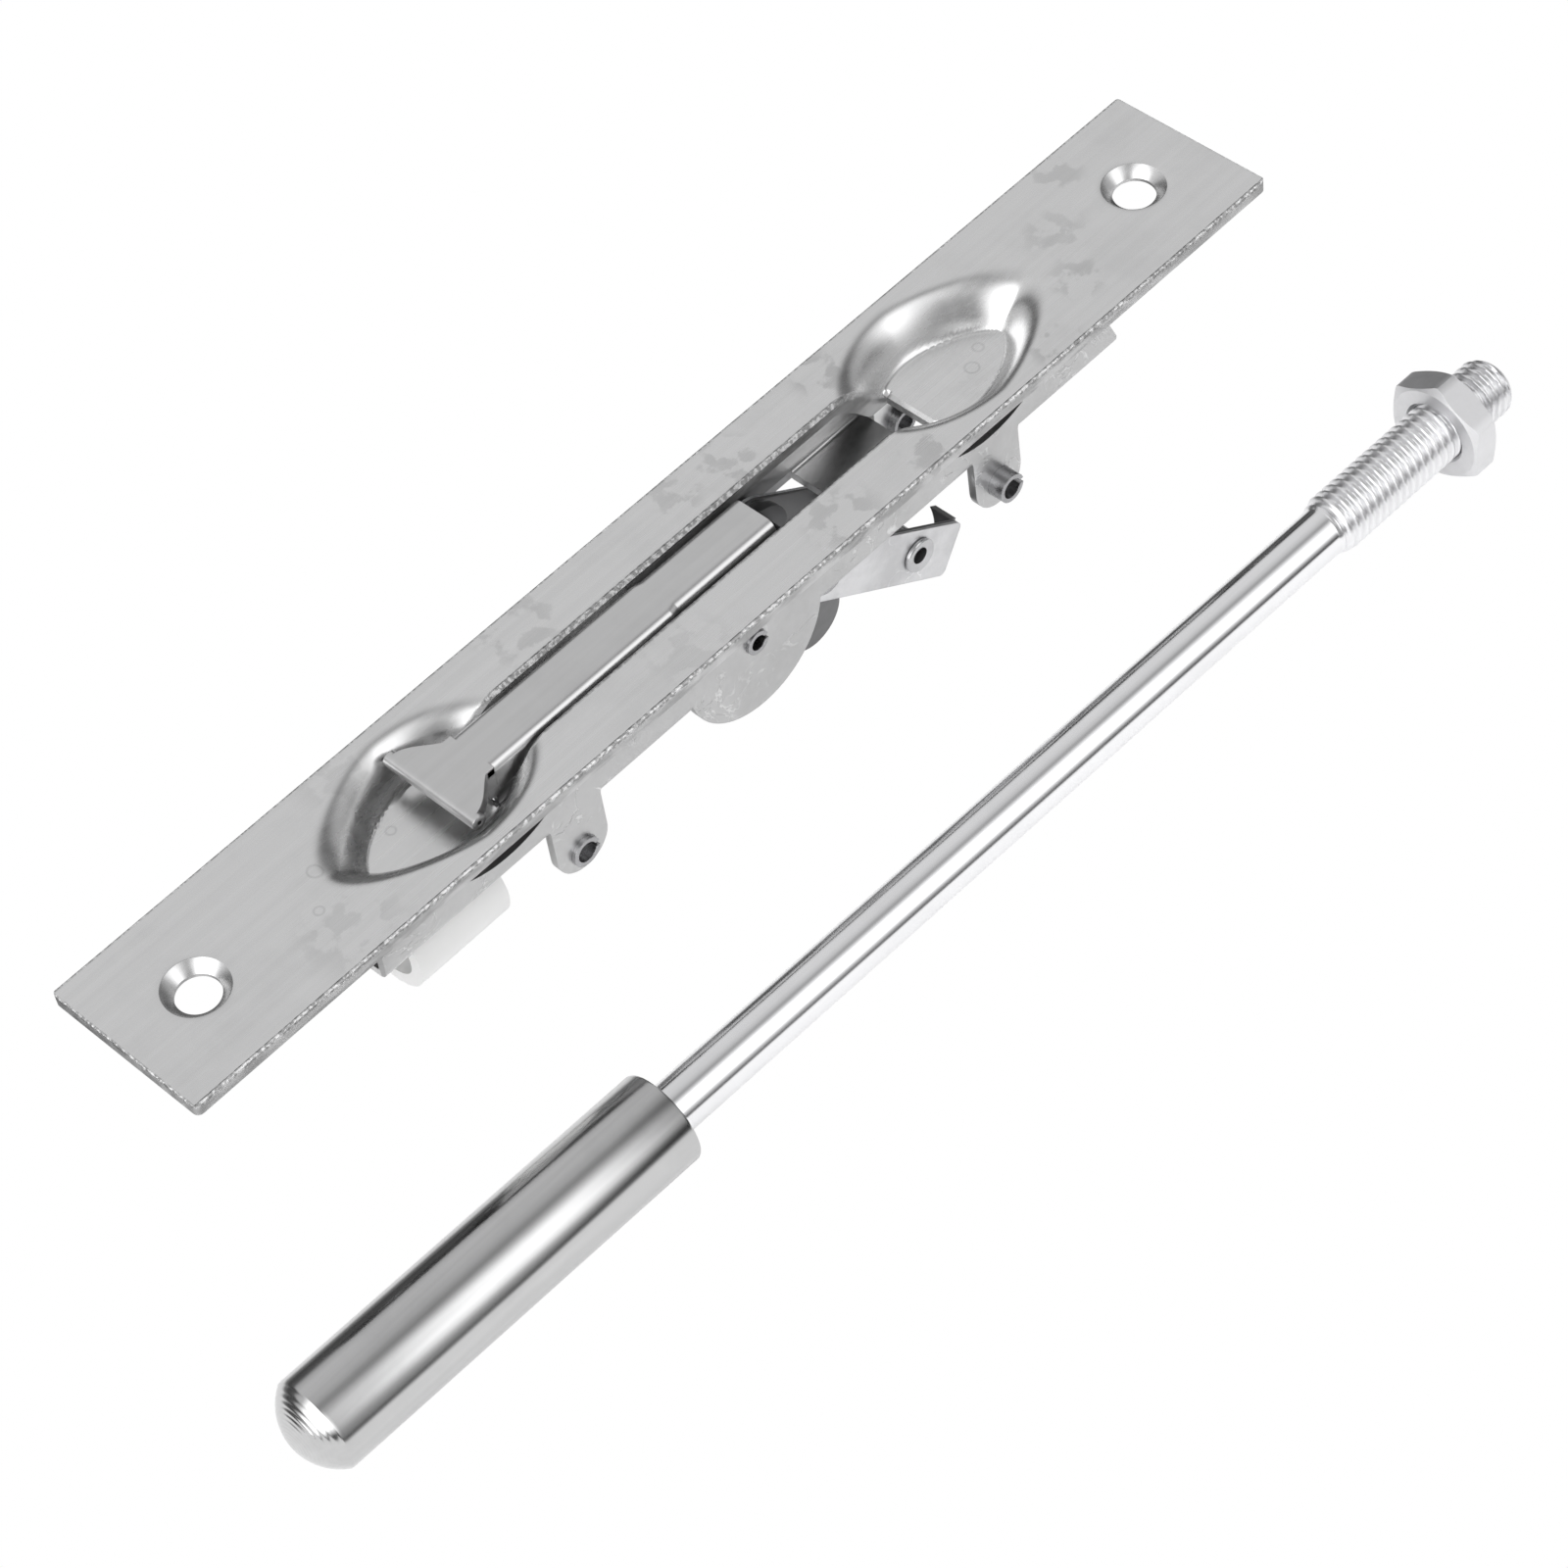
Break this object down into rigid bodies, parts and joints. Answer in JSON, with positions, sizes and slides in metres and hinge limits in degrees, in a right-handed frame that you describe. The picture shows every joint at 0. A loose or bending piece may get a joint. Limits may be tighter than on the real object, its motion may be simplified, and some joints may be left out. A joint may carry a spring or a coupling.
{
  "type": "concealed door bolt",
  "caption": "Flush lever bolt for a door's edge: slotted faceplate with finger dishes, folding lever, channel, crank and link, with a loose threaded rod, bolt head and lock nut.",
  "frame": {"origin": "middle of the faceplate's front face, halfway between the two screw holes", "axes": "+X along the faceplate toward the end the lever folds over to, +Z out of the front face, +Y across the plate away from the loose rod"},
  "size_m": [0.199, 0.0613, 0.028],
  "materials": {
    "plate_steel": "fine satin brushing along the plate",
    "channel_steel": "dull pressed sheet",
    "lever_steel": "dull satin",
    "crank_steel": "dull pressed sheet",
    "link_steel": "dull pressed sheet",
    "pin_steel": "rolled spring steel",
    "rivet_steel": "drawn tube",
    "rod_steel": "drawn bar",
    "head_steel": "turned with fine rings on the nose",
    "nut_steel": "bright chamfered",
    "white_nylon": "moulded, slightly glossy"
  },
  "bodies": {
    "plate": {"faceplate": "plate_steel", "channel": "channel_steel", "pivot_pin": "pin_steel", "near_left_ear_pin": "pin_steel", "far_left_ear_pin": "pin_steel", "near_right_ear_pin": "pin_steel", "far_right_ear_pin": "pin_steel", "rod_guide": "white_nylon", "near_pivot_spacer": "pin_steel", "far_pivot_spacer": "pin_steel"},
    "lever": {"lever": "lever_steel", "near_crank_plate": "crank_steel", "far_crank_plate": "crank_steel", "crank_pin": "pin_steel"},
    "link": {"near_link_bar": "link_steel", "far_link_bar": "link_steel"},
    "clevis": {"clevis": "link_steel", "clevis_rivet": "rivet_steel"},
    "bolt": {"bolt_rod": "rod_steel", "bolt_head": "head_steel"},
    "nut": {"lock_nut": "nut_steel"}
  },
  "joints": [
    {"name": "lever_swing", "type": "hinge", "parent": "plate", "child": "lever", "pos_m": [0, 0, -0.0076], "axis": [0, 1, 0], "range_deg": [0, 160]},
    {"name": "link_swing", "type": "hinge", "parent": "lever", "child": "link", "pos_m": [0.01393, 0, -0.00981], "axis": [0, 1, 0], "range_deg": [-160, 0]},
    {"name": "clevis_swing", "type": "hinge", "parent": "link", "child": "clevis", "pos_m": [0.02902, 0, -0.0198], "axis": [0, 1, 0], "range_deg": [-45, 15]},
    {"name": "rod_lift", "type": "slide", "parent": "plate", "child": "bolt", "axis": [0, 0, 1], "range_m": [0, 0.06]},
    {"name": "nut_turn", "type": "hinge", "parent": "bolt", "child": "nut", "pos_m": [0.08526, -0.04281, -0.0205], "axis": [0.9998, -0.0209, 0], "continuous": true}
  ],
  "couplings": [
    {"joint": "link_swing", "follows": "lever_swing", "ratio": -1}
  ]
}
